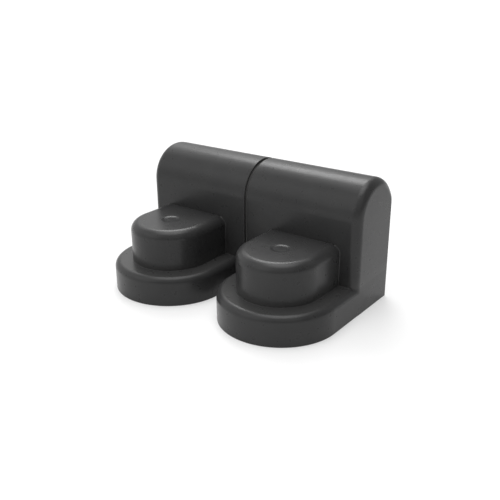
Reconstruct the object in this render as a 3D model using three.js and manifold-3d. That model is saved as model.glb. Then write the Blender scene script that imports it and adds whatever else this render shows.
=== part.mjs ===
// Bolt-down rubber bump made of two mirrored end modules, joined end to end on steel dowels.
// Each module is a moulded rubber block with a round-nosed foot and a bolt boss. A bent steel
// core plate slides in from below, a steel sleeve and washer carry the ground bolt, and a
// rubber cap closes the bolt hole. Millimetres, +Z up, +X along the pair, feet towards -Y.
// The origin is the middle of the base.

import * as THREE from 'three';
import { mergeVertices } from 'three/addons/utils/BufferGeometryUtils.js';
import Module from 'manifold-3d';

const wasm = await Module();
wasm.setup();

// ---- driving dimensions ----

const CLEARANCE = 0.3;          // between a piece and the piece it sits in

const HALF_LENGTH = 150;        // seam plane to the outer end face
const JOINT_GAP = 0.3;          // between the two modules where they butt
const GROOVE_WIDTH = 4.4;       // groove over the joint, up the front and over the top
const GROOVE_DEPTH = 3;

const BLOCK_DEPTH = 75;
const BLOCK_HEIGHT = 151;
const TOP_RADIUS = 41.5;        // round top, from the front face over to the back face
const END_FILLET = 10.4;        // outer end, up the front edge and over the top

const NOSE_X = 79.8;            // centre of the round noses, from the seam plane
const NOSE_AHEAD = 43.15;       // and ahead of the block's front face
const FOOT_RADIUS = HALF_LENGTH - NOSE_X;
const FOOT_HEIGHT = 34.7;
const FOOT_EDGE = 8.2;
const BOSS_RADIUS = 48.4;
const BOSS_HEIGHT = 82;
const BOSS_EDGE = 11;

const HOLE_RADIUS = 10.5;       // counterbore for washer, bolt head and cap
const HOLE_DEPTH = 24;
const HOLE_LIP = 1.5;            // width of the slope from the boss top down to the cap
const BOLT_PATH_RADIUS = 5.5;   // clear way for an M10 ground bolt
const SLEEVE_RADIUS = 8;
const WASHER_RADIUS = 10;
const WASHER_THICKNESS = 2;
const CAP_DEPTH_BELOW_TOP = 0.3;
const CAP_WALL = 1.7;
const CAP_CROWN = 3;            // thickness under the top
const CAP_DISH = 0.6;
const CAP_RIM = 3;              // width of the slope round the dished top
const CAP_EDGE = 0.2;
const CAP_TIP = 1;              // lead-in at the foot of the skirt
const GROOVE_CUT = 0.6;         // depth of the grooves round the skirt
const GROOVE_FLAT = 1.4;
const GROOVE_LEVELS = [4, 8, 12];

const PLATE = 6;                // thickness of the core plate
const PLATE_RECESS = 2;         // its underside sits this far above the ground
const PLATE_WIDTH = 84;
const PLATE_BEND = 8;           // outer radius of the bend
const SPINE_TOP = 118;
const SPINE_BACK = 30;          // back face of the upright leg, behind the block's front face
const PLATE_REACH = 76;         // front edge of the flat leg, ahead of the block's front face

const DOWEL_RADIUS = 8;
const DOWEL_GRIP = 42;          // length held in each module
const DOWEL_BEHIND = 52;        // dowel axes, behind the block's front face
const DOWEL_HEIGHTS = [34, 104];
const DOWEL_CHAMFER = 1.5;
const SOCKET_WALL = 2.5;
const SPACER_RADIUS = 15;
const SPACER_THICKNESS = 2.4;

// ---- places worked out from them ----

const FRONT_Y = (NOSE_AHEAD + FOOT_RADIUS - BLOCK_DEPTH) / 2;
const BACK_Y = FRONT_Y + BLOCK_DEPTH;
const NOSE_Y = FRONT_Y - NOSE_AHEAD;
const INNER_X = JOINT_GAP / 2;
const GROOVE_X = GROOVE_WIDTH / 2;
const SEAT_X = SPACER_THICKNESS / 2 + CLEARANCE;
const PLATE_TOP = PLATE_RECESS + PLATE;
const HOLE_FLOOR = BOSS_HEIGHT - HOLE_DEPTH;
const WASHER_Z = HOLE_FLOOR + CLEARANCE;
const CAP_TOP = BOSS_HEIGHT - CAP_DEPTH_BELOW_TOP;
const CAP_BASE = WASHER_Z + WASHER_THICKNESS + CLEARANCE;
const DOWEL_Y = FRONT_Y + DOWEL_BEHIND;
const SOCKET_BORE = DOWEL_RADIUS + CLEARANCE;
const SOCKET_RADIUS = SOCKET_BORE + SOCKET_WALL;
const SOCKET_DEPTH = DOWEL_GRIP + 2;

const OVERRUN = 30;             // how far cutting shapes run past what they cut
const ROUND = 48;               // sides of a full circle on the noses
const SMALL_ROUND = 24;         // and on the bolt, cap and dowel pieces
const EDGE_STEPS = 4;           // steps across a rounded edge
const TOP_STEPS = 14;           // steps over the block's round top
const BEND_STEPS = 6;           // steps round the core plate's bend

// ---- materials ----

const RUBBER = new THREE.MeshStandardMaterial({ color: 0x2b2b2b, roughness: 0.42, metalness: 0 });
const CAP_RUBBER = new THREE.MeshStandardMaterial({ color: 0x262626, roughness: 0.5, metalness: 0 });
const SPACER_RUBBER = new THREE.MeshStandardMaterial({ color: 0x1d1d1d, roughness: 0.8, metalness: 0 });
const ZINC = new THREE.MeshStandardMaterial({ color: 0xb9bcbd, roughness: 0.35, metalness: 1 });
const STEEL = new THREE.MeshStandardMaterial({ color: 0x8d9092, roughness: 0.4, metalness: 1 });
const BLACK_STEEL = new THREE.MeshStandardMaterial({ color: 0x3a3c3e, roughness: 0.6, metalness: 0.6 });
const NYLON = new THREE.MeshStandardMaterial({ color: 0xc9c6ba, roughness: 0.55, metalness: 0 });

// ---- joining and cutting ----

function toSolid(geometry) {
  const bare = geometry.clone();
  bare.deleteAttribute('normal');
  bare.deleteAttribute('uv');
  const merged = mergeVertices(bare, 1e-4);
  const vertProperties = new Float32Array(merged.attributes.position.array);
  const triVerts = new Uint32Array(merged.index.array);
  return new wasm.Manifold(new wasm.Mesh({ numProp: 3, vertProperties, triVerts }));
}

function toGeometry(solid) {
  const mesh = solid.getMesh();
  const geometry = new THREE.BufferGeometry();
  geometry.setAttribute('position', new THREE.BufferAttribute(mesh.vertProperties, 3));
  geometry.setIndex(new THREE.BufferAttribute(mesh.triVerts, 1));
  geometry.computeVertexNormals();
  return geometry;
}

function cut(solid, tools) {
  return tools.reduce((left, tool) => left.subtract(tool), solid);
}

function mirrorX(geometry) {
  const mirrored = geometry.clone();
  mirrored.applyMatrix4(new THREE.Matrix4().makeScale(-1, 1, 1));
  const index = mirrored.index.array;
  for (let i = 0; i < index.length; i += 3) {
    const first = index[i];
    index[i] = index[i + 1];
    index[i + 1] = first;
  }
  mirrored.computeVertexNormals();
  return mirrored;
}

// ---- plain shapes ----

// A box given by its lowest and highest corners.
function boxBetween(low, high) {
  const size = high.map((value, axis) => value - low[axis]);
  const box = new THREE.BoxGeometry(...size);
  box.translate(...low.map((value, axis) => value + size[axis] / 2));
  return box;
}

// A turned piece about the Z axis, from [radius, height] points.
function turned(points) {
  return new THREE.LatheGeometry(points.map(([r, z]) => new THREE.Vector2(r, z)), SMALL_ROUND)
    .rotateX(Math.PI / 2);
}

// A solid upright cylinder between two heights.
function upright(radius, low, high) {
  return turned([[0, low], [radius, low], [radius, high], [0, high]]);
}

// A ring about the Z axis.
function ring(inner, outer, low, high) {
  return turned([[inner, low], [outer, low], [outer, high], [inner, high], [inner, low]]);
}

// An upright shape turned to lie along X, its base at the origin.
function alongX(geometry) {
  return geometry.rotateY(Math.PI / 2);
}

// ---- the moulded rubber body ----

// Side outline of the block, as (distance behind the front face, height), drawn in by an inset.
// It runs past the base and past the back face, so that the end fillet runs out there.
function blockOutline(inset) {
  const centreZ = BLOCK_HEIGHT - TOP_RADIUS;
  const radius = TOP_RADIUS - inset;
  const stop = Math.acos((BLOCK_DEPTH - TOP_RADIUS) / TOP_RADIUS);
  const arcEnd = [TOP_RADIUS + radius * Math.cos(stop), centreZ + radius * Math.sin(stop)];
  const far = BLOCK_DEPTH + OVERRUN;
  const outline = new THREE.Shape();
  outline.moveTo(inset, -OVERRUN);
  outline.lineTo(inset, centreZ);
  outline.absarc(TOP_RADIUS, centreZ, radius, Math.PI, stop, true);
  outline.lineTo(far, arcEnd[1] - (far - arcEnd[0]) / Math.tan(stop));
  outline.lineTo(far, -OVERRUN);
  return outline;
}

// Stands a side outline that was extruded along Z up in YZ, so that it grows along X.
function standUp(geometry) {
  return geometry.applyMatrix4(new THREE.Matrix4().makeBasis(
    new THREE.Vector3(0, 1, 0), new THREE.Vector3(0, 0, 1), new THREE.Vector3(1, 0, 0)));
}

// The part of an over-long block between two planes, cut off at the base and the back.
function blockBetween(geometry, lowX, highX) {
  const limits = boxBetween([lowX, FRONT_Y - 1, 0], [highX, BACK_Y, BLOCK_HEIGHT + 1]);
  return toSolid(geometry).intersect(toSolid(limits));
}

function blockSolid() {
  const length = HALF_LENGTH + OVERRUN;
  const geometry = new THREE.ExtrudeGeometry(blockOutline(0), {
    depth: length - 2 * END_FILLET,
    bevelEnabled: true,
    bevelThickness: END_FILLET,
    bevelSize: END_FILLET,
    bevelOffset: -END_FILLET,
    bevelSegments: EDGE_STEPS + 1,
    curveSegments: TOP_STEPS,
  });
  standUp(geometry.translate(0, 0, END_FILLET)).translate(-OVERRUN, FRONT_Y, 0);
  return blockBetween(geometry, GROOVE_X, HALF_LENGTH + 1);
}

// The thin butting face: the block's outline drawn in by the depth of the groove.
function jointLip() {
  const geometry = new THREE.ExtrudeGeometry(blockOutline(GROOVE_DEPTH), {
    depth: OVERRUN, bevelEnabled: false, curveSegments: TOP_STEPS,
  });
  standUp(geometry).translate(-OVERRUN / 2, FRONT_Y, 0);
  return blockBetween(geometry, INNER_X, GROOVE_X + 1);
}

// A round-nosed slab standing on the ground, with a rounded top edge, running back to backY.
function noseSolid(radius, height, edge, backY) {
  const back = backY + OVERRUN;
  const outline = new THREE.Shape();
  outline.moveTo(NOSE_X - radius, back);
  outline.lineTo(NOSE_X - radius, NOSE_Y);
  outline.absarc(NOSE_X, NOSE_Y, radius, Math.PI, 2 * Math.PI, false);
  outline.lineTo(NOSE_X + radius, back);
  const geometry = new THREE.ExtrudeGeometry(outline, {
    depth: height + OVERRUN - 2 * edge,
    bevelEnabled: true,
    bevelThickness: edge,
    bevelSize: edge,
    bevelOffset: -edge,
    bevelSegments: EDGE_STEPS,
    curveSegments: ROUND / 2,
  });
  geometry.translate(0, 0, edge - OVERRUN);
  const limits = boxBetween([0, -HALF_LENGTH, 0], [HALF_LENGTH, backY, height + 1]);
  return toSolid(geometry).intersect(toSolid(limits));
}

// The bent outline that the core plate and its pocket share, as (y, z), grown by a clearance.
function coreOutline(grow, floor) {
  const back = FRONT_Y + SPINE_BACK + grow;
  const front = FRONT_Y - PLATE_REACH - grow;
  const top = SPINE_TOP + grow;
  const inner = FRONT_Y + SPINE_BACK - PLATE - grow;
  const legTop = PLATE_TOP + grow;
  const innerBend = PLATE_BEND - PLATE + CLEARANCE - grow;
  const outline = new THREE.Shape();
  outline.moveTo(front, floor);
  if (floor > 0) {
    outline.lineTo(back - PLATE_BEND, floor);
    outline.absarc(back - PLATE_BEND, floor + PLATE_BEND, PLATE_BEND, 1.5 * Math.PI, 2 * Math.PI, false);
  } else {
    outline.lineTo(back, floor);
  }
  outline.lineTo(back, top);
  outline.lineTo(inner, top);
  outline.lineTo(inner, legTop + innerBend);
  outline.absarc(inner - innerBend, legTop + innerBend, innerBend, 2 * Math.PI, 1.5 * Math.PI, true);
  outline.lineTo(front, legTop);
  return outline;
}

function coreGeometry(grow, floor) {
  const width = PLATE_WIDTH + 2 * grow;
  const geometry = new THREE.ExtrudeGeometry(coreOutline(grow, floor), {
    depth: width, bevelEnabled: false, curveSegments: BEND_STEPS,
  });
  return standUp(geometry).translate(-width / 2, 0, 0);
}

// Bolt hole: sleeve bore from the pocket up, then the counterbore, whose mouth slopes up to the boss top.
function boltHole() {
  const sleeveBore = SLEEVE_RADIUS + CLEARANCE;
  const hole = turned([
    [0, PLATE_TOP - 1],
    [sleeveBore, PLATE_TOP - 1],
    [sleeveBore, HOLE_FLOOR],
    [HOLE_RADIUS, HOLE_FLOOR],
    [HOLE_RADIUS, CAP_TOP],
    [HOLE_RADIUS + HOLE_LIP, BOSS_HEIGHT],
    [HOLE_RADIUS + HOLE_LIP, BOSS_HEIGHT + 1],
    [0, BOSS_HEIGHT + 1],
  ]);
  return toSolid(hole.translate(NOSE_X, NOSE_Y, 0));
}

function socketHole(height) {
  const bore = alongX(upright(SOCKET_RADIUS + CLEARANCE, -OVERRUN, SOCKET_DEPTH + 2 * CLEARANCE));
  return toSolid(bore.translate(SEAT_X, DOWEL_Y, height));
}

// Shallow seat that takes half of a spacer ring.
function spacerSeat(height) {
  const seat = alongX(upright(SPACER_RADIUS + CLEARANCE, -OVERRUN, SEAT_X));
  return toSolid(seat.translate(0, DOWEL_Y, height));
}

function rubberBody() {
  const outside = blockSolid()
    .add(jointLip())
    .add(noseSolid(FOOT_RADIUS, FOOT_HEIGHT, FOOT_EDGE, BACK_Y))
    .add(noseSolid(BOSS_RADIUS, BOSS_HEIGHT, BOSS_EDGE, FRONT_Y + BOSS_EDGE));
  const pocket = toSolid(coreGeometry(CLEARANCE, -1).translate(NOSE_X, 0, 0));
  const seats = [...DOWEL_HEIGHTS.map(socketHole), ...DOWEL_HEIGHTS.map(spacerSeat)];
  return toGeometry(cut(outside, [pocket, boltHole(), ...seats]));
}

// ---- what the rubber holds ----

function corePlate() {
  const plate = toSolid(coreGeometry(0, PLATE_RECESS));
  const boltHoleInPlate = upright(BOLT_PATH_RADIUS, -1, PLATE_TOP + 1).translate(0, NOSE_Y, 0);
  return toGeometry(cut(plate, [toSolid(boltHoleInPlate)]));
}

function sleeve() {
  return ring(BOLT_PATH_RADIUS, SLEEVE_RADIUS, PLATE_TOP + CLEARANCE, HOLE_FLOOR);
}

function washer() {
  return ring(BOLT_PATH_RADIUS, WASHER_RADIUS, 0, WASHER_THICKNESS);
}

// A cup turned upside down: dished top, and a ribbed skirt that stands on the washer and
// leaves room inside for the bolt head.
function boltCap() {
  const outer = HOLE_RADIUS - CLEARANCE;
  const inner = outer - CAP_WALL;
  const height = CAP_TOP - CAP_BASE;
  const crown = height - CAP_CROWN;
  const neck = outer - GROOVE_CUT;
  const points = [[0, crown], [inner, crown], [inner, 0], [neck, 0], [outer, CAP_TIP]];
  for (const low of GROOVE_LEVELS) {
    const floor = low + GROOVE_CUT;
    const high = floor + GROOVE_FLAT;
    points.push([outer, low], [neck, floor], [neck, high], [outer, high + GROOVE_CUT]);
  }
  points.push([outer, height - CAP_EDGE], [outer - CAP_EDGE, height]);
  points.push([outer - CAP_RIM, height - CAP_DISH], [0, height - CAP_DISH]);
  return turned(points);
}

function dowel() {
  const half = DOWEL_GRIP + SEAT_X;
  const tip = DOWEL_RADIUS - DOWEL_CHAMFER;
  return alongX(turned([
    [0, -half],
    [tip, -half],
    [DOWEL_RADIUS, -half + DOWEL_CHAMFER],
    [DOWEL_RADIUS, half - DOWEL_CHAMFER],
    [tip, half],
    [0, half],
  ]));
}

function dowelSocket() {
  return alongX(ring(SOCKET_BORE, SOCKET_RADIUS, 0, SOCKET_DEPTH));
}

function spacer() {
  const half = SPACER_THICKNESS / 2;
  return alongX(ring(SOCKET_BORE, SPACER_RADIUS, -half, half));
}

// ---- assembly ----

function piece(name, geometry, material, place = [0, 0, 0]) {
  const mesh = new THREE.Mesh(geometry, material);
  mesh.name = name;
  mesh.position.set(...place);
  return mesh;
}

// side is 1 for the module on +X and -1 for its mirror image.
function module(side, prefix) {
  const group = new THREE.Group();
  const noseX = side * NOSE_X;
  const body = rubberBody();
  group.add(piece(`${prefix}_rubber_body`, side > 0 ? body : mirrorX(body), RUBBER));
  group.add(piece(`${prefix}_core_plate`, corePlate(), BLACK_STEEL, [noseX, 0, 0]));
  group.add(piece(`${prefix}_bolt_sleeve`, sleeve(), STEEL, [noseX, NOSE_Y, 0]));
  group.add(piece(`${prefix}_bolt_washer`, washer(), ZINC, [noseX, NOSE_Y, WASHER_Z]));
  group.add(piece(`${prefix}_bolt_cap`, boltCap(), CAP_RUBBER, [noseX, NOSE_Y, CAP_BASE]));
  for (const [index, height] of DOWEL_HEIGHTS.entries()) {
    const level = index === 0 ? 'lower' : 'upper';
    const socket = piece(`${prefix}_${level}_dowel_socket`, dowelSocket(), NYLON);
    socket.position.set(side * (SEAT_X + CLEARANCE), DOWEL_Y, height);
    socket.rotation.z = side > 0 ? 0 : Math.PI;
    group.add(socket);
  }
  return group;
}

function seam() {
  const group = new THREE.Group();
  for (const [index, height] of DOWEL_HEIGHTS.entries()) {
    const level = index === 0 ? 'lower' : 'upper';
    group.add(piece(`${level}_dowel`, dowel(), STEEL, [0, DOWEL_Y, height]));
    group.add(piece(`${level}_spacer_ring`, spacer(), SPACER_RUBBER, [0, DOWEL_Y, height]));
  }
  return group;
}

const bump = new THREE.Group();
bump.add(module(-1, 'left'), module(1, 'right'), seam());

export default bump;
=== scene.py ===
"""Looks for the bolt-down rubber bump: two mirrored moulded modules joined on steel dowels.

Shapes are worked out in millimetres in the CAD frame, mostly for the right-hand module, which
is mirrored for the left, and are scaled to metres when a mesh is made.
"""
import math

import bmesh
import bpy
from mathutils import Matrix, Vector


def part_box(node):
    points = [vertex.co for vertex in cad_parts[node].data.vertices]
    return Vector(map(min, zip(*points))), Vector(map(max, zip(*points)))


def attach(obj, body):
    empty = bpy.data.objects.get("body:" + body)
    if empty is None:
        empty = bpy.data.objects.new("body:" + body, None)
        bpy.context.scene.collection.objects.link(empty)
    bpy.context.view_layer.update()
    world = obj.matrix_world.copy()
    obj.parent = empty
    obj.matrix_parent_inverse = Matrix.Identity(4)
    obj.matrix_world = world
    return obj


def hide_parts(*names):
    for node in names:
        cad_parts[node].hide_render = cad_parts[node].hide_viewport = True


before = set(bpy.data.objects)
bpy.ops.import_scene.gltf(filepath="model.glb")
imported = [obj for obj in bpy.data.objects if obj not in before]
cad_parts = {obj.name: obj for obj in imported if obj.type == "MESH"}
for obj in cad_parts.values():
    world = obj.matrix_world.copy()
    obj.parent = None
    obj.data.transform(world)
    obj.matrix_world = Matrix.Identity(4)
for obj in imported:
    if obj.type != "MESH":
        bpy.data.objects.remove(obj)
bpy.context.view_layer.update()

MM = 0.001


def box_mm(node):
    """Lowest and highest corners of a CAD node, in millimetres."""
    low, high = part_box(node)
    return low / MM, high / MM


# ---- driving dimensions, in millimetres, as in the CAD part ----

CLEARANCE = 0.3

body_low, body_high = box_mm("right_rubber_body")
HALF_LENGTH = body_high.x
INNER_X = body_low.x
BACK_Y = body_high.y
BLOCK_DEPTH = 75.0
FRONT_Y = BACK_Y - BLOCK_DEPTH
BLOCK_HEIGHT = 151.0
TOP_RADIUS = 41.5
END_FILLET = 10.4
SEAM_EDGE = 0.5                 # small rounding at the seam, on the back and along the base
GROOVE_X = 2.2                  # half the width of the groove over the joint
GROOVE_DEPTH = 3.0

NOSE_X = 79.8
FOOT_RADIUS = HALF_LENGTH - NOSE_X
NOSE_Y = body_low.y + FOOT_RADIUS
FOOT_HEIGHT = 34.7
FOOT_EDGE = 8.2
BOSS_RADIUS = 48.4
BOSS_HEIGHT = 82.0
BOSS_EDGE = 11.0
INSIDE_FILLET = 1.2             # where the sides of the boss run into the block
JUNCTION_STOP = 0.5             # that fillet ends this far below the boss top
BOSS_BASE_FILLET = 0.4          # where the boss stands on the foot

HOLE_RADIUS = 10.5              # counterbore for the washer and the cap
HOLE_DEPTH = 24.0
HOLE_FLOOR = BOSS_HEIGHT - HOLE_DEPTH
RECESS_RADIUS = 12.0            # shallow round recess over the hole and the cap
RECESS_FLAT = 7.3               # radius of its flat middle
RECESS_DEPTH = 0.85
RECESS_STEPS = 16
BOLT_PATH_RADIUS = 5.5          # through the washer, the sleeve and the core plate
SLEEVE_RADIUS = 8.0
SLEEVE_BORE = SLEEVE_RADIUS + CLEARANCE

CAP_WALL = 1.7
CAP_CROWN = 3.0                 # thickness of the cap's top
CAP_EDGE = 0.1
CAP_FIT = 0.03                  # how closely the cap's top and ribs meet the hole
CAP_LEAD_IN = 0.5
CAP_GROOVE_LEVELS = (5.3, 9.3, 13.3)    # above the foot of the cap's skirt
CAP_GROOVE_STEPS = 8
CAP_GROOVE_HALF = 1.2
CAP_GROOVE_DEPTH = 0.6

PLATE = 6.0                     # thickness of the core plate
PLATE_BEND = 8.0
PLATE_INNER_BEND = 2.3
DOWEL_RADIUS = 8.0
DOWEL_CHAMFER = 1.5
SOCKET_BORE = DOWEL_RADIUS + CLEARANCE  # of the spacer rings too

# how much each inner piece's crisp edges are broken
PLATE_EDGE = 0.6
SLEEVE_EDGE = 0.3
WASHER_EDGE = 0.35
SOCKET_EDGE = 0.3
SPACER_EDGE = 0.4
DOWEL_EDGE = 0.25

OVERRUN = 30.0                  # how far shapes run past where they are cut off
OVERLAP = 4.0                   # how far the foot and the boss run in behind the end fillet
DRILL_OVERRUN = 1.0             # how far a drill runs out of a face
HAIR = 0.02                     # smallest distance that counts; keeps faces out of one plane
CUT_TOLERANCE = 1e-5            # how near a point counts as on the cutting plane
WELD_DISTANCE = 1e-7            # in metres, how near two points become one
ARC_STEPS = 48
NOSE_STEPS = 72
TURN_STEPS = 96
EDGE_STEPS = 3                  # across a small rounded edge
INSIDE_STEPS = 4                # across the inside fillet
FILLET_STEPS = 12               # across the end fillet, the foot's edge and the plate's bend
INNER_BEND_STEPS = 8
BOSS_EDGE_STEPS = 14
SHARP = math.radians(32)        # edges that bend more than this stay crisp


# ---- outlines ----

def arc(centre, radius, start, stop, steps):
    """Points on an arc in a plane, angles in radians."""
    turn = (stop - start) / steps
    return [(centre[0] + radius * math.cos(start + i * turn),
             centre[1] + radius * math.sin(start + i * turn)) for i in range(steps + 1)]


def quarter(steps):
    """Angles from 0 to a right angle."""
    return [0.5 * math.pi * i / steps for i in range(steps + 1)]


# ---- mesh helpers ----

def loft(rings):
    """A closed body through rings of equal length, with flat ends."""
    bm = bmesh.new()
    rows = [[bm.verts.new(point) for point in ring] for ring in rings]
    count = len(rows[0])
    for low, high in zip(rows, rows[1:]):
        for i in range(count):
            j = (i + 1) % count
            bm.faces.new((low[i], low[j], high[j], high[i]))
    bm.faces.new(rows[0])
    bm.faces.new(rows[-1])
    bmesh.ops.recalc_face_normals(bm, faces=bm.faces)
    return bm


def turned(points):
    """A turned body about Z from (radius, height) points: from axis to axis, or a closed loop."""
    bm = bmesh.new()
    rows = []
    for radius, height in points:
        sides = 1 if radius < HAIR else TURN_STEPS
        rows.append([bm.verts.new((radius * math.cos(a), radius * math.sin(a), height))
                     for a in (2 * math.pi * i / sides for i in range(sides))])
    pairs = list(zip(rows, rows[1:]))
    if len(rows[0]) > 1:
        pairs.append((rows[-1], rows[0]))
    for low, high in pairs:
        for i in range(TURN_STEPS):
            j = i + 1
            corners = (low[i % len(low)], low[j % len(low)],
                       high[j % len(high)], high[i % len(high)])
            distinct = list(dict.fromkeys(corners))
            if len(distinct) > 2:
                bm.faces.new(distinct)
    bmesh.ops.recalc_face_normals(bm, faces=bm.faces)
    return bm


def ring(inner, outer, low, high):
    """A plain ring about Z."""
    return turned([(inner, low), (outer, low), (outer, high), (inner, high)])


def moved(bm, x, y, z):
    """Shifts a shape and gives it back."""
    bmesh.ops.translate(bm, vec=(x, y, z), verts=bm.verts)
    return bm


def along_x(bm):
    """Lays an upright shape down along X."""
    quarter_turn = Matrix.Rotation(math.pi / 2, 3, "Y")
    bmesh.ops.rotate(bm, cent=(0, 0, 0), matrix=quarter_turn, verts=bm.verts)
    return bm


def cut_off(bm, point, normal):
    """Cuts away what lies beyond a plane and closes the cut."""
    result = bmesh.ops.bisect_plane(
        bm, geom=bm.verts[:] + bm.edges[:] + bm.faces[:], dist=CUT_TOLERANCE,
        plane_co=point, plane_no=normal, clear_outer=True)
    edges = [e for e in result["geom_cut"] if isinstance(e, bmesh.types.BMEdge)]
    bmesh.ops.holes_fill(bm, edges=edges, sides=0)


def round_edges(bm, edges, radius, steps):
    """Rounds the given edges."""
    bmesh.ops.bevel(bm, geom=edges, offset=radius, offset_type="OFFSET", segments=steps,
                    profile=0.5, affect="EDGES", clamp_overlap=False)


def softened(bm, radius):
    """Breaks every crisp edge of a piece and gives it back."""
    crisp = [e for e in bm.edges if e.calc_face_angle() > SHARP]
    round_edges(bm, crisp, radius, EDGE_STEPS)
    return bm


def temporary(bm):
    """An object from a bmesh, for a boolean to work on."""
    mesh = bpy.data.meshes.new("temporary")
    bm.to_mesh(mesh)
    bm.free()
    thing = bpy.data.objects.new("temporary", mesh)
    bpy.context.scene.collection.objects.link(thing)
    return thing


def boolean(bm, tools, operation):
    """Joins or cuts bm with each tool, and gives the result as a new bmesh."""
    base = temporary(bm)
    cutters = [temporary(tool) for tool in tools]
    for cutter in cutters:
        modifier = base.modifiers.new("cut", "BOOLEAN")
        modifier.object = cutter
        modifier.operation = operation
        modifier.solver = "EXACT"
    bpy.context.view_layer.update()
    result = bmesh.new()
    result.from_object(base, bpy.context.evaluated_depsgraph_get())
    for thing in [base, *cutters]:
        mesh = thing.data
        bpy.data.objects.remove(thing)
        bpy.data.meshes.remove(mesh)
    return result


def make_piece(name, bm, body, node, material, mirror=False):
    """A finished object from a bmesh in millimetres: scaled, shaded, riding and replacing."""
    bmesh.ops.transform(bm, matrix=Matrix.Scale(MM, 4), verts=bm.verts)
    if mirror:
        bmesh.ops.transform(bm, matrix=Matrix.Diagonal((-1, 1, 1, 1)), verts=bm.verts)
    bmesh.ops.remove_doubles(bm, verts=bm.verts, dist=WELD_DISTANCE)
    bmesh.ops.recalc_face_normals(bm, faces=bm.faces)
    for face in bm.faces:
        face.smooth = True
    for edge in bm.edges:
        edge.smooth = len(edge.link_faces) == 2 and edge.calc_face_angle() < SHARP
    mesh = bpy.data.meshes.new(name)
    bm.to_mesh(mesh)
    bm.free()
    mesh.materials.append(material)
    thing = bpy.data.objects.new(name, mesh)
    bpy.context.scene.collection.objects.link(thing)
    weighted = thing.modifiers.new("even shading", "WEIGHTED_NORMAL")
    weighted.keep_sharp = True
    weighted.weight = 100
    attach(thing, body)
    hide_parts(node)
    return thing


# ---- material patterns ----

NOISE_LOW = 0.3                 # the range over which noise turns one value into the other
NOISE_HIGH = 0.7


def new_material(name, colour, roughness, metallic=0.0, specular=0.5):
    """A material whose even values sit on the shader's own sockets."""
    material = bpy.data.materials.new(name)
    material.use_nodes = True
    shader = material.node_tree.nodes["Principled BSDF"]
    shader.inputs["Base Color"].default_value = (*colour, 1)
    shader.inputs["Roughness"].default_value = roughness
    shader.inputs["Metallic"].default_value = metallic
    shader.inputs["Specular IOR Level"].default_value = specular
    return material


def noise(material, size, detail=2.0, stretch=(1, 1, 1)):
    """Noise with blobs of a given size in millimetres, drawn out by a stretch along each axis."""
    tree = material.node_tree
    place = tree.nodes.new("ShaderNodeTexCoord")
    mapping = tree.nodes.new("ShaderNodeMapping")
    texture = tree.nodes.new("ShaderNodeTexNoise")
    mapping.inputs["Scale"].default_value = [1 / s for s in stretch]
    texture.inputs["Scale"].default_value = 1 / (size * MM)
    texture.inputs["Detail"].default_value = detail
    tree.links.new(place.outputs["Object"], mapping.inputs["Vector"])
    tree.links.new(mapping.outputs["Vector"], texture.inputs["Vector"])
    return texture.outputs["Fac"]


def spangle(material, size):
    """Crystal patches of a given size in millimetres, each with its own value."""
    tree = material.node_tree
    place = tree.nodes.new("ShaderNodeTexCoord")
    texture = tree.nodes.new("ShaderNodeTexVoronoi")
    texture.inputs["Scale"].default_value = 1 / (size * MM)
    tree.links.new(place.outputs["Object"], texture.inputs["Vector"])
    split = tree.nodes.new("ShaderNodeSeparateColor")
    tree.links.new(texture.outputs["Color"], split.inputs["Color"])
    return split.outputs["Red"]


def stepped(material, source, low, high, out_low, out_high):
    """Maps a range of a pattern to a range of values, and holds it beyond."""
    node = material.node_tree.nodes.new("ShaderNodeMapRange")
    node.inputs["From Min"].default_value = low
    node.inputs["From Max"].default_value = high
    node.inputs["To Min"].default_value = out_low
    node.inputs["To Max"].default_value = out_high
    material.node_tree.links.new(source, node.inputs["Value"])
    return node.outputs["Result"]


def vary_roughness(material, source, least, most):
    """Roughness that follows a pattern between two values."""
    value = stepped(material, source, NOISE_LOW, NOISE_HIGH, least, most)
    shader = material.node_tree.nodes["Principled BSDF"]
    material.node_tree.links.new(value, shader.inputs["Roughness"])


def vary_colour(material, source, one, other):
    """Colour that follows a pattern from one colour to the other."""
    tree = material.node_tree
    mix = tree.nodes.new("ShaderNodeMix")
    mix.data_type = "RGBA"
    mix.inputs["A"].default_value = (*one, 1)
    mix.inputs["B"].default_value = (*other, 1)
    share = stepped(material, source, NOISE_LOW, NOISE_HIGH, 0, 1)
    tree.links.new(share, mix.inputs["Factor"])
    tree.links.new(mix.outputs["Result"], tree.nodes["Principled BSDF"].inputs["Base Color"])


def object_axis(material, axis):
    """One object coordinate, in metres."""
    tree = material.node_tree
    place = tree.nodes.new("ShaderNodeTexCoord")
    split = tree.nodes.new("ShaderNodeSeparateXYZ")
    tree.links.new(place.outputs["Object"], split.inputs["Vector"])
    return split.outputs[axis]


def computed(material, operation, *sources):
    """The result of one sum on patterns or coordinates."""
    node = material.node_tree.nodes.new("ShaderNodeMath")
    node.operation = operation
    for source, socket in zip(sources, node.inputs):
        material.node_tree.links.new(source, socket)
    return node.outputs[0]


def groove_painted_light_mask(material):
    """1 in the groove over the joint, where light is painted, 0 outside it."""
    across = computed(material, "ABSOLUTE", object_axis(material, "X"))
    return stepped(material, across, GROOVE_X * MM, (GROOVE_X + GROOVE_LIGHT_FADE) * MM, 1, 0)


def ledge_painted_light_mask(material):
    """1 where light is painted: on the ledge and just above it, fading up whatever stands there."""
    height = object_axis(material, "Z")
    start = FOOT_HEIGHT - LEDGE_LIGHT_START
    full = FOOT_HEIGHT + LEDGE_LIGHT_FULL
    stop = FOOT_HEIGHT + LEDGE_LIGHT_RISE
    above = stepped(material, height, start * MM, FOOT_HEIGHT * MM, 0, 1)
    below = stepped(material, height, full * MM, stop * MM, 1, 0)
    return computed(material, "MULTIPLY", above, below)


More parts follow.
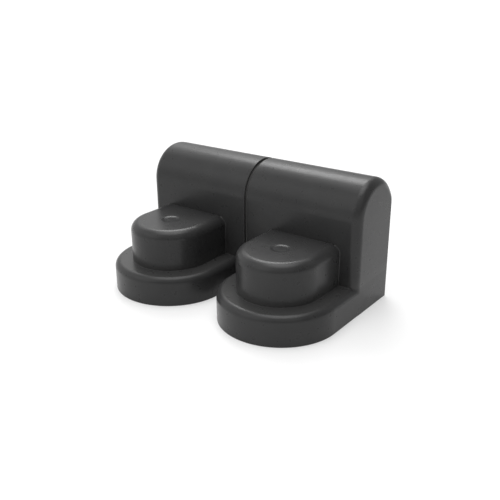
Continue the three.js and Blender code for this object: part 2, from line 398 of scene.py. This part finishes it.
def paint_light_over(material, mask, painted_colour):
    """Painted light: a paler colour where a mask says, over the colour the shader has."""
    tree = material.node_tree
    colour = tree.nodes["Principled BSDF"].inputs["Base Color"]
    mix = tree.nodes.new("ShaderNodeMix")
    mix.data_type = "RGBA"
    mix.inputs["B"].default_value = (*painted_colour, 1)
    tree.links.new(mask, mix.inputs["Factor"])
    tree.links.new(colour.links[0].from_socket, mix.inputs["A"])
    tree.links.new(mix.outputs["Result"], colour)


def add_relief(material, layers):
    """Bump from (pattern, height in millimetres) layers, one on another."""
    tree = material.node_tree
    below = None
    for source, height in layers:
        bump = tree.nodes.new("ShaderNodeBump")
        bump.inputs["Strength"].default_value = 1.0
        bump.inputs["Distance"].default_value = height * MM
        tree.links.new(source, bump.inputs["Height"])
        if below:
            tree.links.new(below, bump.inputs["Normal"])
        below = bump.outputs["Normal"]
    tree.links.new(below, tree.nodes["Principled BSDF"].inputs["Normal"])


# ---- materials ----

RUBBER_SPECULAR = 0.24
RUBBER_BLACK = (0.029, 0.029, 0.0294)
RUBBER_BLOOM = (0.033, 0.033, 0.033)    # faint grey bloom on moulded rubber
# the caps' colour, darker than the body as painted shade on the floor of the recess
CAP_SHADED_BLACK = (0.022, 0.022, 0.0222)
# painted light: a paler colour in the groove over the joint
GROOVE_PAINTED_LIGHT = (0.068, 0.067, 0.066)
GROOVE_LIGHT_FADE = 0.3                 # millimetres past the groove over which the painted light runs out
# painted light: a paler colour on the ledge and at the foot of what stands on it
LEDGE_PAINTED_LIGHT = (0.042, 0.042, 0.0416)
LEDGE_LIGHT_START = 1.0          # millimetres below the ledge where its painted light begins
LEDGE_LIGHT_FULL = 2.0           # it stays whole up to here above the ledge
LEDGE_LIGHT_RISE = 14.0          # and is gone here
DRAWN = 20                      # how much longer than wide the die lines on drawn steel are


def body_rubber():
    """Black moulded rubber: satin, with fine grain, slow ripples and faint bloom, and painted light
    as a paler colour in the groove over the joint and on the ledge.
    """
    material = new_material("body_rubber", RUBBER_BLACK, 0.29, specular=RUBBER_SPECULAR)
    bloom = noise(material, size=26)
    satin = noise(material, size=9)
    ripples = noise(material, size=30, detail=1)
    grain = noise(material, size=0.8, detail=1)
    vary_colour(material, bloom, RUBBER_BLACK, RUBBER_BLOOM)
    # painted light: paler colour in the groove over the joint and on the ledge, standing in for
    # light that reaches there
    paint_light_over(material, groove_painted_light_mask(material), GROOVE_PAINTED_LIGHT)
    paint_light_over(material, ledge_painted_light_mask(material), LEDGE_PAINTED_LIGHT)
    vary_roughness(material, satin, 0.27, 0.31)
    add_relief(material, [(ripples, 0.012), (grain, 0.0015)])
    return material


def cap_rubber():
    """The caps: the same rubber, a little duller, and darker as painted shade in the recess they
    sit in.
    """
    material = new_material("cap_rubber", CAP_SHADED_BLACK, 0.31, specular=RUBBER_SPECULAR)
    bloom = noise(material, size=6)
    satin = noise(material, size=3)
    grain = noise(material, size=0.6, detail=1)
    # darker cap colour: painted shade on the floor of the recess
    vary_colour(material, bloom, CAP_SHADED_BLACK, RUBBER_BLACK)
    vary_roughness(material, satin, 0.28, 0.34)
    add_relief(material, [(grain, 0.0015)])
    return material


def spacer_rubber():
    """The spacer rings: punched from matt sheet rubber with an open grain."""
    material = new_material("spacer_rubber", (0.02, 0.02, 0.02), 0.75, specular=0.35)
    chalk = noise(material, size=4, detail=5)
    scuffs = noise(material, size=1.5, detail=4)
    grain = noise(material, size=0.4, detail=4)
    vary_colour(material, chalk, (0.018, 0.018, 0.018), (0.04, 0.04, 0.038))
    vary_roughness(material, scuffs, 0.68, 0.85)
    add_relief(material, [(grain, 0.03)])
    return material


def core_steel():
    """The core plates: black dipped primer with orange peel and a few runs."""
    material = new_material("core_steel", (0.03, 0.03, 0.032), 0.5, specular=0.5)
    patches = noise(material, size=14, detail=6)
    sheen = noise(material, size=7, detail=5)
    peel = noise(material, size=1.8)
    runs = noise(material, size=22, stretch=(1, 4, 1))
    vary_colour(material, patches, (0.022, 0.022, 0.024), (0.055, 0.052, 0.05))
    vary_roughness(material, sheen, 0.38, 0.6)
    add_relief(material, [(peel, 0.03), (runs, 0.12)])
    return material


def bright_steel(name, stretch):
    """Drawn steel with die lines along its length."""
    material = new_material(name, (0.5, 0.5, 0.51), 0.3, metallic=1.0)
    streaks = noise(material, size=5, detail=4, stretch=stretch)
    polish = noise(material, size=0.8, detail=3, stretch=stretch)
    lines = noise(material, size=0.5, stretch=stretch)
    vary_colour(material, streaks, (0.42, 0.42, 0.43), (0.58, 0.58, 0.59))
    vary_roughness(material, polish, 0.22, 0.38)
    add_relief(material, [(lines, 0.006)])
    return material


def zinc_plate():
    """Zinc plating with a blue-grey passivation and small spangle."""
    material = new_material("zinc_plate", (0.62, 0.64, 0.66), 0.35, metallic=1.0)
    crystals = spangle(material, size=1.6)
    haze = noise(material, size=1.2, detail=4)
    grain = noise(material, size=0.6, detail=3)
    vary_colour(material, crystals, (0.56, 0.6, 0.64), (0.7, 0.7, 0.68))
    vary_roughness(material, haze, 0.28, 0.45)
    add_relief(material, [(grain, 0.008)])
    return material


def socket_nylon():
    """The dowel sockets: natural nylon with soft sink marks."""
    material = new_material("socket_nylon", (0.66, 0.64, 0.57), 0.45)
    clouds = noise(material, size=8, detail=3)
    gloss = noise(material, size=4, detail=3)
    sinks = noise(material, size=5)
    grain = noise(material, size=0.6)
    vary_colour(material, clouds, (0.62, 0.6, 0.53), (0.72, 0.7, 0.63))
    vary_roughness(material, gloss, 0.38, 0.52)
    add_relief(material, [(sinks, 0.03), (grain, 0.004)])
    return material


# ---- the moulded rubber body ----

def block_ring(x, inset):
    """The block's side outline at x, drawn in by an inset; it overruns the base and the back."""
    centre = (FRONT_Y + TOP_RADIUS, BLOCK_HEIGHT - TOP_RADIUS)
    stop = math.acos((BLOCK_DEPTH - TOP_RADIUS) / TOP_RADIUS)
    outline = [(FRONT_Y + inset, -OVERRUN)]
    outline += arc(centre, TOP_RADIUS - inset, math.pi, stop, ARC_STEPS)
    end_y, end_z = outline[-1]
    far_y = BACK_Y + OVERRUN
    outline.append((far_y, end_z - (far_y - end_y) / math.tan(stop)))
    outline.append((far_y, -OVERRUN))
    return [(x, y, z) for y, z in outline]


def block():
    """The tall block: a side outline carried from the thin lip at the joint to the end fillet."""
    rings = [block_ring(INNER_X, GROOVE_DEPTH), block_ring(GROOVE_X, GROOVE_DEPTH)]
    for turn in quarter(EDGE_STEPS):
        rings.append(block_ring(GROOVE_X + SEAM_EDGE * (1 - math.cos(turn)),
                                SEAM_EDGE * (1 - math.sin(turn))))
    for turn in quarter(FILLET_STEPS):
        rings.append(block_ring(HALF_LENGTH - END_FILLET * (1 - math.sin(turn)),
                                END_FILLET * (1 - math.cos(turn))))
    bm = loft(rings)
    cut_off(bm, (0, 0, 0), (0, 0, -1))
    cut_off(bm, (0, BACK_Y, 0), (0, 1, 0))
    back = [e for e in bm.edges
            if min(v.co.y for v in e.verts) > BACK_Y - HAIR and e.calc_face_angle() > SHARP]
    round_edges(bm, back, SEAM_EDGE, EDGE_STEPS)
    return bm


def nose_ring(radius, z, back_y):
    """A round-nosed outline at height z whose sides run straight back to back_y."""
    outline = [(NOSE_X - radius, back_y)]
    outline += arc((NOSE_X, NOSE_Y), radius, math.pi, 2 * math.pi, NOSE_STEPS)
    outline.append((NOSE_X + radius, back_y))
    return [(x, y, z) for x, y in outline]


def foot_and_boss():
    """Foot, ledge and boss in one: a profile of (radius, height) carried round the nose."""
    outer = FOOT_RADIUS - HAIR
    profile = []
    for turn in quarter(EDGE_STEPS):
        profile.append((outer - SEAM_EDGE * (1 - math.sin(turn)),
                        HAIR + SEAM_EDGE * (1 - math.cos(turn))))
    for turn in quarter(FILLET_STEPS):
        profile.append((outer - FOOT_EDGE * (1 - math.cos(turn)),
                        FOOT_HEIGHT - FOOT_EDGE * (1 - math.sin(turn))))
    for turn in quarter(EDGE_STEPS):
        profile.append((BOSS_RADIUS + BOSS_BASE_FILLET * (1 - math.sin(turn)),
                        FOOT_HEIGHT + BOSS_BASE_FILLET * (1 - math.cos(turn))))
    for turn in quarter(BOSS_EDGE_STEPS):
        profile.append((BOSS_RADIUS - BOSS_EDGE * (1 - math.cos(turn)),
                        BOSS_HEIGHT - BOSS_EDGE * (1 - math.sin(turn))))
    back_y = FRONT_Y + END_FILLET + OVERLAP
    return loft([nose_ring(radius, z, back_y) for radius, z in profile])


def recess_height(radius):
    """Height of the boss top and of the cap round the bolt axis: flat, sloping, flat."""
    share = (radius - RECESS_FLAT) / (RECESS_RADIUS - RECESS_FLAT)
    share = min(max(share, 0.0), 1.0)
    return BOSS_HEIGHT - RECESS_DEPTH * (1 - share * share * (3 - 2 * share))


def recess_slope(start, stop):
    """Points (radius, height) over the recess from one radius to another."""
    radii = [start + (stop - start) * i / RECESS_STEPS for i in range(RECESS_STEPS + 1)]
    return [(radius, recess_height(radius)) for radius in radii]


def bolt_hole():
    """The sleeve bore and the counterbore, whose mouth slopes up to the boss top."""
    start = box_mm("right_core_plate")[0].z
    above = BOSS_HEIGHT + DRILL_OVERRUN
    profile = [(0, start), (SLEEVE_BORE, start)]
    profile += [(SLEEVE_BORE, HOLE_FLOOR), (HOLE_RADIUS, HOLE_FLOOR)]
    profile += recess_slope(HOLE_RADIUS, RECESS_RADIUS)
    profile += [(RECESS_RADIUS, above), (0, above)]
    return moved(turned(profile), NOSE_X, NOSE_Y, 0)


def bent_outline(grow, floor):
    """Side outline (y, z) of the bent core plate, or of its pocket, which is open at the base."""
    low, high = box_mm("right_core_plate")
    front, back, top = low.y - grow, high.y + grow, high.z + grow
    inner = high.y - PLATE - grow
    leg_top = low.z + PLATE + grow
    inner_bend = PLATE_INNER_BEND - grow
    outline = [(front, floor)]
    if grow:
        outline.append((back, floor))
    else:
        outline += arc((back - PLATE_BEND, floor + PLATE_BEND), PLATE_BEND,
                       -math.pi / 2, 0, FILLET_STEPS)
    outline += [(back, top), (inner, top)]
    outline += arc((inner - inner_bend, leg_top + inner_bend), inner_bend,
                   0, -math.pi / 2, INNER_BEND_STEPS)
    outline.append((front, leg_top))
    return outline


def bent_plate(grow, floor):
    """The bent plate as a solid, or, grown on every side, its pocket."""
    low, high = box_mm("right_core_plate")
    outline = bent_outline(grow, floor)
    return loft([[(x, y, z) for y, z in outline] for x in (low.x - grow, high.x + grow)])


def seam_hole(node):
    """A round hole in the joint face, as deep and wide as the piece it takes, and a clearance."""
    low, high = box_mm(node)
    radius = (high.z - low.z) / 2 + CLEARANCE
    deep = high.x + CLEARANCE
    hole = along_x(turned([(0, -OVERRUN), (radius, -OVERRUN), (radius, deep), (0, deep)]))
    return moved(hole, 0, (low.y + high.y) / 2, (low.z + high.z) / 2)


def junction_edges(bm):
    """The inside corners up the sides of the boss, from the foot to near the boss top."""
    found = []
    for edge in bm.edges:
        if len(edge.link_faces) != 2 or edge.is_convex or edge.calc_face_angle() < SHARP:
            continue
        low = min(v.co.z for v in edge.verts)
        near = max(v.co.y for v in edge.verts) < FRONT_Y + END_FILLET
        high = max(v.co.z for v in edge.verts)
        if low > FOOT_HEIGHT - HAIR and high < BOSS_HEIGHT - JUNCTION_STOP and near:
            found.append(edge)
    return found


def rubber_body():
    """The moulding in one piece, with the holes for all that it holds."""
    bm = boolean(block(), [foot_and_boss()], "UNION")
    round_edges(bm, junction_edges(bm), INSIDE_FILLET, INSIDE_STEPS)
    cutters = [bent_plate(CLEARANCE, -OVERRUN), bolt_hole()]
    for level in ("lower", "upper"):
        cutters.append(seam_hole(f"right_{level}_dowel_socket"))
        cutters.append(seam_hole(f"{level}_spacer_ring"))
    return boolean(bm, cutters, "DIFFERENCE")


# ---- what the rubber holds ----

def core_plate():
    """The bent plate, drilled for the bolt."""
    low, _ = box_mm("right_core_plate")
    start = -DRILL_OVERRUN
    stop = low.z + PLATE + DRILL_OVERRUN
    drill = turned([(0, start), (BOLT_PATH_RADIUS, start), (BOLT_PATH_RADIUS, stop), (0, stop)])
    plate = boolean(bent_plate(0, low.z), [moved(drill, NOSE_X, NOSE_Y, 0)], "DIFFERENCE")
    return softened(plate, PLATE_EDGE)


def upright_ring(node, inner, edge):
    """A ring about the bolt axis, as tall and wide as its CAD node."""
    low, high = box_mm(node)
    bm = softened(ring(inner, (high.x - low.x) / 2, low.z, high.z), edge)
    return moved(bm, NOSE_X, NOSE_Y, 0)


def lying_ring(node, inner, edge):
    """A ring about a dowel axis, as long and wide as its CAD node."""
    low, high = box_mm(node)
    bm = softened(ring(inner, (high.z - low.z) / 2, low.x, high.x), edge)
    return moved(along_x(bm), 0, (low.y + high.y) / 2, (low.z + high.z) / 2)


def bolt_cap():
    """An upside-down cup with sealing ribs round its skirt and a dished top."""
    low, high = box_mm("right_bolt_cap")
    outer = HOLE_RADIUS - CAP_FIT
    inner = (high.x - low.x) / 2 - CAP_WALL
    under = high.z - CAP_CROWN
    profile = [(0, under), (inner - CAP_EDGE, under), (inner, under - CAP_EDGE), (inner, low.z)]
    profile += [(outer - CAP_LEAD_IN, low.z), (outer, low.z + CAP_LEAD_IN)]
    for level in CAP_GROOVE_LEVELS:
        for turn in (math.pi * i / CAP_GROOVE_STEPS for i in range(CAP_GROOVE_STEPS + 1)):
            profile.append((outer - CAP_GROOVE_DEPTH * math.sin(turn),
                            low.z + level - CAP_GROOVE_HALF * math.cos(turn)))
    profile.append((outer, recess_height(outer) - CAP_EDGE))
    profile += recess_slope(outer - CAP_EDGE, RECESS_FLAT)
    profile.append((0, recess_height(0)))
    return moved(turned(profile), NOSE_X, NOSE_Y, 0)


def dowel(level):
    """A ground pin with a chamfer at each end."""
    low, high = box_mm(f"{level}_dowel")
    radius = (high.z - low.z) / 2
    tip = radius - DOWEL_CHAMFER
    bm = turned([(0, low.x), (tip, low.x), (radius, low.x + DOWEL_CHAMFER),
                 (radius, high.x - DOWEL_CHAMFER), (tip, high.x), (0, high.x)])
    bm = along_x(softened(bm, DOWEL_EDGE))
    return moved(bm, 0, (low.y + high.y) / 2, (low.z + high.z) / 2)


# ---- assembly ----

def add_module(side, mirror, looks):
    """One module and its cap; the left one is the right one mirrored."""
    module = f"{side}_module"

    def add(part, bm, slot, body=module):
        make_piece(f"{side}_{part}_look", bm, body, f"{side}_{part}", looks[slot], mirror)

    add("rubber_body", rubber_body(), "body_rubber")
    add("core_plate", core_plate(), "core_steel")
    sleeve = upright_ring("right_bolt_sleeve", BOLT_PATH_RADIUS, SLEEVE_EDGE)
    add("bolt_sleeve", sleeve, "bright_steel")
    washer = upright_ring("right_bolt_washer", BOLT_PATH_RADIUS, WASHER_EDGE)
    add("bolt_washer", washer, "zinc_plate")
    add("bolt_cap", bolt_cap(), "cap_rubber", f"{side}_cap")
    for level in ("lower", "upper"):
        socket = f"{level}_dowel_socket"
        add(socket, lying_ring(f"right_{socket}", SOCKET_BORE, SOCKET_EDGE), "socket_nylon")


def add_seam(looks, dowel_steel):
    """What lies across the joint: two dowels, each with its spacer ring."""
    for level in ("lower", "upper"):
        make_piece(f"{level}_dowel_look", dowel(level), "left_module", f"{level}_dowel",
                   dowel_steel)
        spacer = lying_ring(f"{level}_spacer_ring", SOCKET_BORE, SPACER_EDGE)
        make_piece(f"{level}_spacer_ring_look", spacer, "left_module", f"{level}_spacer_ring",
                   looks["spacer_rubber"])


def build():
    """Every piece of the part, in its material."""
    looks = {
        "body_rubber": body_rubber(),
        "cap_rubber": cap_rubber(),
        "spacer_rubber": spacer_rubber(),
        "core_steel": core_steel(),
        "bright_steel": bright_steel("sleeve_steel", (1, 1, DRAWN)),
        "zinc_plate": zinc_plate(),
        "socket_nylon": socket_nylon(),
    }
    add_module("right", False, looks)
    add_module("left", True, looks)
    add_seam(looks, bright_steel("dowel_steel", (DRAWN, 1, 1)))


# ---- camera, floor and light ----

CAMERA_AZIMUTH = 37.0355        # degrees; 0 is in front of the part, and it grows to the right
CAMERA_ELEVATION = 22.2155
CAMERA_ROLL = -0.37
CAMERA_TARGET = (6.255, FRONT_Y, 47.985)
CAMERA_DISTANCE = 825.1         # millimetres from the target
CAMERA_LENS = 49.552452
SENSOR_WIDTH = 36.0

FLOOR_WHITE = 0.52
FLOOR_GLOW = 0.38
FLOOR_REACH = 12.0              # metres from the middle to each side
FLOOR_DROP = 0.0002             # metres below the base, so that the two never share a plane

SKY_EVEN = 0.12

# (azimuth in degrees, brightness) of broad glows round the horizon
GLOWS = ((-70, 0.62), (0, 0.12), (180, 0.34))

# (name, azimuth, elevation, width, brightness): angles in degrees
SOFTBOXES = (
    ("key", -138, 50, 24, 6.7),
    ("key_spill", -138, 50, 60, 0.78),
    ("overhead", 0, 90, 50, 2.4),
    ("overhead_middle", 0, 90, 30, 1.6),
    ("front_fill", -20, 40, 50, 0.7),
    ("right_fill", 50, 45, 50, 0.45),
    ("left_fill", -75, 30, 50, 0.3),
)


def toward(azimuth, elevation):
    """Unit vector to a point in the sky, from its azimuth and elevation in degrees."""
    azimuth = math.radians(azimuth)
    elevation = math.radians(elevation)
    return Vector((math.sin(azimuth) * math.cos(elevation),
                   -math.cos(azimuth) * math.cos(elevation), math.sin(elevation)))


def add_camera():
    """The view: from the front right, a little above, with a normal lens."""
    back = toward(CAMERA_AZIMUTH, CAMERA_ELEVATION)
    level = toward(CAMERA_AZIMUTH + 90, 0)
    rise = back.cross(level)
    roll = math.radians(CAMERA_ROLL)
    right = math.cos(roll) * level + math.sin(roll) * rise
    up = math.cos(roll) * rise - math.sin(roll) * level
    data = bpy.data.cameras.new("camera")
    data.sensor_width = SENSOR_WIDTH
    data.lens = CAMERA_LENS
    camera = bpy.data.objects.new("camera", data)
    place = (Vector(CAMERA_TARGET) + back * CAMERA_DISTANCE) * MM
    turn = Matrix((right, up, back)).transposed().to_4x4()
    camera.matrix_world = Matrix.Translation(place) @ turn
    bpy.context.scene.collection.objects.link(camera)
    bpy.context.scene.camera = camera


def add_floor():
    """A plain pale sheet, far wider than the view, glowing faintly as if lit from below."""
    bm = bmesh.new()
    bmesh.ops.create_grid(bm, x_segments=1, y_segments=1, size=FLOOR_REACH)
    mesh = bpy.data.meshes.new("floor")
    bm.to_mesh(mesh)
    bm.free()
    floor = bpy.data.objects.new("floor", mesh)
    floor.location.z = -FLOOR_DROP
    paper = new_material("floor", (FLOOR_WHITE,) * 3, 1.0, specular=0.0)
    shader = paper.node_tree.nodes["Principled BSDF"]
    shader.inputs["Emission Color"].default_value = (1, 1, 1, 1)
    shader.inputs["Emission Strength"].default_value = FLOOR_GLOW
    mesh.materials.append(paper)
    bpy.context.scene.collection.objects.link(floor)


def add_softbox(name, azimuth, elevation, width, brightness):
    """A far round softbox, as wide as the angle it fills; the angles are in degrees."""
    data = bpy.data.lights.new(name, "SUN")
    data.angle = math.radians(width)
    data.energy = brightness * 2 * math.pi * (1 - math.cos(data.angle / 2))
    lamp = bpy.data.objects.new(name, data)
    lamp.rotation_mode = "QUATERNION"
    lamp.rotation_quaternion = toward(azimuth, elevation).to_track_quat("Z", "Y")
    bpy.context.scene.collection.objects.link(lamp)


def add_world():
    """A studio whose walls glow softly: evenly, and more on the left and behind."""
    world = bpy.data.worlds.new("studio")
    world.use_nodes = True
    bpy.context.scene.world = world
    tree = world.node_tree
    place = tree.nodes.new("ShaderNodeTexCoord")
    total = tree.nodes.new("ShaderNodeValue")
    total.outputs[0].default_value = SKY_EVEN
    for azimuth, brightness in GLOWS:
        along = tree.nodes.new("ShaderNodeVectorMath")
        along.operation = "DOT_PRODUCT"
        along.inputs[1].default_value = toward(azimuth, 0) * brightness
        tree.links.new(place.outputs["Generated"], along.inputs[0])
        glow = tree.nodes.new("ShaderNodeMath")
        glow.operation = "MAXIMUM"
        glow.inputs[1].default_value = 0.0
        tree.links.new(along.outputs["Value"], glow.inputs[0])
        add = tree.nodes.new("ShaderNodeMath")
        tree.links.new(total.outputs[0], add.inputs[0])
        tree.links.new(glow.outputs[0], add.inputs[1])
        total = add
    background = tree.nodes["Background"]
    background.inputs["Color"].default_value = (1, 1, 1, 1)
    tree.links.new(total.outputs[0], background.inputs["Strength"])


def light_studio():
    """The soft light of the studio and its lamps."""
    add_world()
    for name, azimuth, elevation, width, brightness in SOFTBOXES:
        add_softbox(name, azimuth, elevation, width, brightness)


bpy.context.scene.view_settings.view_transform = "Standard"
build()
add_camera()
add_floor()
light_studio()
